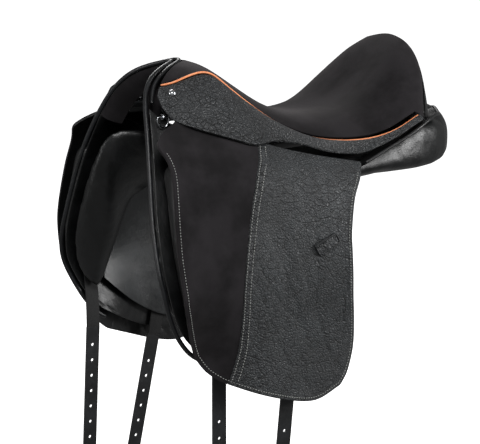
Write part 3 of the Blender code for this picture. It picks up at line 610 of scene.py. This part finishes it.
def shapeFlaps(side, sign):
    sheets = []
    pad = patch([frontEdge[0]] + hiddenTop + [seamLine[0]],
                [frontEdge[-1]] + bottomFront + [seamLine[-1]], frontEdge, seamLine, 34, 66)
    back = patch([seamLine[0], (-0.035, 0.139), (0.02, 0.1250), rearEdge[0]],
                 [seamLine[-1]] + bottomRear + [rearEdge[-1]], seamLine, rearEdge, 66, 96)
    for name, grid, material, slotName, node in (
            ("flap_front_leather", pad, suede, "suede", f"flap_front_{side}"),
            ("flap_rear_leather", back, grainedFlap, "grained_leather",
             [f"flap_{side}", f"flap_top_{side}"])):
        points = []
        for i, row in enumerate(grid):
            line = []
            for j, (x, z) in enumerate(row):
                soft = (0.0022 * noise.noise(Vector((x * 26, z * 9, sign * 3.1)))
                        + 0.0009 * noise.noise(Vector((x * 70, z * 22, 5))))
                if material is grainedFlap:
                    # long creases slant down and back across the lower half
                    low = ease((0.05 - z) / 0.06)
                    for reach, tall, deep in ((30, 6, 0.0011), (64, 13, 0.0007)):
                        ridge = noise.noise(Vector(((x + 0.36 * z) * reach, (z - 0.36 * x) * tall,
                                                    sign * 7 + reach)))
                        soft -= deep * low * max(0.0, 1 - abs(ridge) / 0.075)
                rim = min(i, j, len(grid) - 1 - i, len(row) - 1 - j) / 6
                tuck = 0.001 * ease((z - foldAt(x)[1]) / 0.02)
                line.append((x, sign * (flapWidth(x, z) - tuck + soft * ease(rim)), z))
            points.append(line)
        leather = gridSheet(f"{name}_{side}", points, flap["thickness"], 0.0013, 1)
        piece = finishPiece(leather, material, node)
        piece.data.materials.append(smoothLeather)      # the flesh side is faced with smooth black leather
        for face in piece.data.polygons:
            face.material_index = 1 if face.normal.y * sign < -0.3 else 0
        sheets.append(piece)
    bottomEdge = [frontEdge[-1]] + bottomFront + [seamLine[-1]] + bottomRear + [rearEdge[-1]]
    outline = np.vstack([catmull(frontEdge[1:], 60), catmull(bottomEdge, 60)[1:],
                         catmull(rearEdge[::-1][:-1], 60)[1:]])
    seam = catmull(seamLine, 120)
    rows = []
    for line, distance in ((outline, 0.0055), (seam, 0.0022), (seam, 0.0100)):
        path = insideLine(line, distance)[2:-2]
        lift = flap["thickness"] / 2 + (0.0009 if line is seam else 0.0002)
        rows.append((onFlap(path, sign, lift), flapNormals(path, sign)))
    stitches = stitchMesh(f"flap_stitches_{side}", rows,
                          {"pitch": 0.0042, "length": 0.0026, "radius": 0.00055})
    sheets.append(finishPiece(stitches, thread))
    band = [[onFlap([p], sign, flap["thickness"] / 2 + 0.0002)[0] for p in insideLine(seam, d)]
            for d in (0.0002, 0.004, 0.008, 0.0118)]
    bandLeather = gridSheet(f"flap_seam_band_{side}", band, 0.0014, 0.0004, 1)
    sheets.append(finishPiece(bandLeather, grained))
    return sheets


keeperShape = {"x": 0.0145, "z": 0.001, "tilt": 27, "halfLong": 0.0188, "halfTall": 0.0078,
               "lift": 0.0056, "rimRadius": 0.0013}
for side, sign in sides.items():
    for piece in shapeFlaps(side, sign):
        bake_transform(piece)
    keeper = cadCopy(f"stirrup_keeper_{side}", f"stirrup_keeper_leather_{side}")
    roundEdges(keeper, 0.0008)
    soften(keeper, 2)
    finishPiece(keeper, grained, f"stirrup_keeper_{side}")
    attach(keeper, f"flap_{side}")
    rim = []
    tilt = math.radians(keeperShape["tilt"])
    for turn in np.linspace(0, 2 * math.pi, 65):
        u = keeperShape["halfLong"] * np.sign(math.cos(turn)) * abs(math.cos(turn)) ** 0.35
        v = keeperShape["halfTall"] * np.sign(math.sin(turn)) * abs(math.sin(turn)) ** 0.35
        x = keeperShape["x"] + u * math.cos(tilt) - v * math.sin(tilt)
        z = keeperShape["z"] + u * math.sin(tilt) + v * math.cos(tilt)
        rim += onFlap([(x, z)], sign, keeperShape["lift"] + 0.0012 * math.cos(math.pi * u / 0.039))
    rolled = cordMesh(f"stirrup_keeper_rim_{side}", rim, keeperShape["rimRadius"])
    finishPiece(rolled, strapLeather)
    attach(rolled, f"flap_{side}")
print("flaps made")


# panels and knee blocks: wool-stuffed, blown up a little by cloth pressure
padding = {"voxel": 0.005, "pressure": 4.0, "frames": 20}


def puff(piece, cap, shrink, levels=1):
    applyModifier(piece, "REMESH", mode="VOXEL", voxel_size=padding["voxel"])
    applyModifier(piece, "SMOOTH", factor=0.5, iterations=4)
    mesh = piece.data
    for vert in mesh.vertices:
        vert.co = vert.co - vert.normal * shrink
    rest = np.array([vert.co for vert in mesh.vertices])
    cloth = piece.modifiers.new("cloth", "CLOTH")
    cloth.settings.quality = 4
    cloth.settings.mass = 0.3
    cloth.settings.tension_stiffness = cloth.settings.compression_stiffness = 12
    cloth.settings.bending_stiffness = 0.8
    cloth.settings.use_pressure = True
    cloth.settings.uniform_pressure_force = padding["pressure"]
    cloth.settings.effector_weights.gravity = 0
    for step in range(1, padding["frames"] + 1):
        bpy.context.scene.frame_set(step)
    activate(piece)
    bpy.ops.object.modifier_apply(modifier="cloth")
    bpy.context.scene.frame_set(1)
    for vert, home in zip(piece.data.vertices, rest):
        moved = np.array(vert.co) - home
        length = np.linalg.norm(moved)
        if length > cap:
            vert.co = home + moved * cap / length
    applyModifier(piece, "SMOOTH", factor=0.5, iterations=2)
    soften(piece, levels)


for side, sign in sides.items():
    for node, pieceName, material, slotName, cap, shrink, fill in (
            ("panel", "panel_cushion", panelLeather, "panel_leather", 0.004, 0.0015, 0.8),
            ("knee_block", "knee_block_pad", smoothLeather, "smooth_leather", 0.003, 0.0015, 0.9)):
        piece = cadCopy(f"{node}_{side}", f"{pieceName}_{side}")
        if node == "panel":
            roundBehindCantle(piece, 0.004)
        puff(piece, cap, shrink)
        finishPiece(piece, material, f"{node}_{side}")
        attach(piece, "saddle")
print("panels and knee blocks made")


# gussets: a strip of leather from the panels' upper piping inward, closing the cushions behind the cantle
pipingPath = catmull([(0.112, 0.180, 0.107), (0.148, 0.181, 0.124), (0.188, 0.183, 0.143),
                      (0.218, 0.180, 0.159), (0.248, 0.166, 0.170), (0.279, 0.137, 0.178),
                      (0.299, 0.085, 0.184), (0.305, 0.004, 0.187)], 48)
gusset = {"reach": 0.034, "fall": 0.42, "centre": 0.150, "thickness": 0.0018}
for side, sign in sides.items():
    rows = []
    for inward in np.linspace(0, gusset["reach"], 8):
        row = []
        for x, y, z in pipingPath:
            away = Vector((gusset["centre"] - x, -y)).normalized()
            crown = 0.002 * math.sin(math.pi * inward / gusset["reach"])
            row.append((x + away.x * inward, sign * max(0.002, y + away.y * inward),
                        z - 0.002 - gusset["fall"] * inward + crown))
        rows.append(row)
    piece = gridSheet(f"panel_gusset_{side}", rows, gusset["thickness"], 0.0004, 1)
    roundBehindCantle(piece, -0.014)
    finishPiece(piece, smoothLeather)
    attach(piece, "saddle")
print("gussets made")


# pommel front: the suede facing that wraps from the front roll into the gullet
archHalf = [(-0.116, 0, 0.257), (-0.1475, 0.024, 0.2485), (-0.1654, 0.033, 0.2405), (-0.1767, 0.040, 0.232),
            (-0.185, 0.047, 0.2216), (-0.195, 0.062, 0.202), (-0.202, 0.080, 0.175)]


def alongArch(points, rearward, inward):
    ahead = np.gradient(points, axis=0)
    ahead /= np.linalg.norm(ahead, axis=1, keepdims=True)
    back = np.array([1, 0, 0.15]) - ahead * (ahead @ (1, 0, 0.15))[:, None]
    back /= np.linalg.norm(back, axis=1, keepdims=True)
    return points + back * rearward + np.cross(ahead, back) * inward


half = np.array(archHalf)
arch = catmull(np.vstack([half[::-1] * (1, -1, 1), half[1:]]), 61)
facingSteps = ((0.0015, 0.0045), (0.003, 0.010), (0.007, 0.016), (0.016, 0.021), (0.030, 0.024))
facing = gridSheet("pommel_facing", [alongArch(arch, back, down) for back, down in facingSteps],
                   0.002, 0.0005, 1)
finishPiece(facing, suede, "front_facing")
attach(facing, "saddle")
print("pommel made")


# stage, light and camera
bpy.ops.mesh.primitive_plane_add(size=60, location=(0, 0, cadBox[0][2] - 0.001))
floor = bpy.context.object
floor.name = "floor"
floorPaint = newMaterial("floorPaint", {
    "Base Color": linear("#f4f4f4"), "Roughness": 0.9,
    "Emission Color": (1, 1, 1, 1), "Emission Strength": 0.95})[0]
floor.data.materials.append(floorPaint)
# so the floor does not light the leather from below
floor.visible_diffuse = floor.visible_glossy = False

world = bpy.data.worlds.new("studio")
bpy.context.scene.world = world
world.use_nodes = True
world.node_tree.nodes["Background"].inputs["Color"].default_value = (1, 1, 1, 1)
world.node_tree.nodes["Background"].inputs["Strength"].default_value = 0.22

softboxes = {
    # name: place, aimed at, size, watts
    "key": ((-1.0, -1.9, 2.0), (0, 0, 0), 1.1, 62),
    "side": ((2.0, -1.9, 0.7), (0, 0, 0), 1.0, 58),
    "back": ((0.6, 2.2, 1.8), (0, 0, 0.1), 1.2, 30),
    "front": ((-2.6, 0.3, 0.5), (0, 0, 0), 0.8, 10),
}
for name, (place, target, size, watts) in softboxes.items():
    lamp = bpy.data.lights.new(name, "AREA")
    lamp.shape = "SQUARE"
    lamp.size = size
    lamp.energy = watts
    holder = bpy.data.objects.new(name, lamp)
    bpy.context.scene.collection.objects.link(holder)
    holder.location = place
    holder.rotation_euler = (Vector(target) - Vector(place)).to_track_quat("-Z", "Y").to_euler()

lens = bpy.data.cameras.new("camera")
lens.sensor_width = 36
lens.lens = 124.8
camera = bpy.data.objects.new("camera", lens)
bpy.context.scene.collection.objects.link(camera)
camera.location = (-1.2803, -2.2175, 0.4515)
camera.rotation_euler = (Vector((0, 0, 0)) - camera.location).to_track_quat("-Z", "Y").to_euler()
bpy.context.scene.camera = camera
bpy.context.scene.view_settings.view_transform = "Standard"
print("stage made")
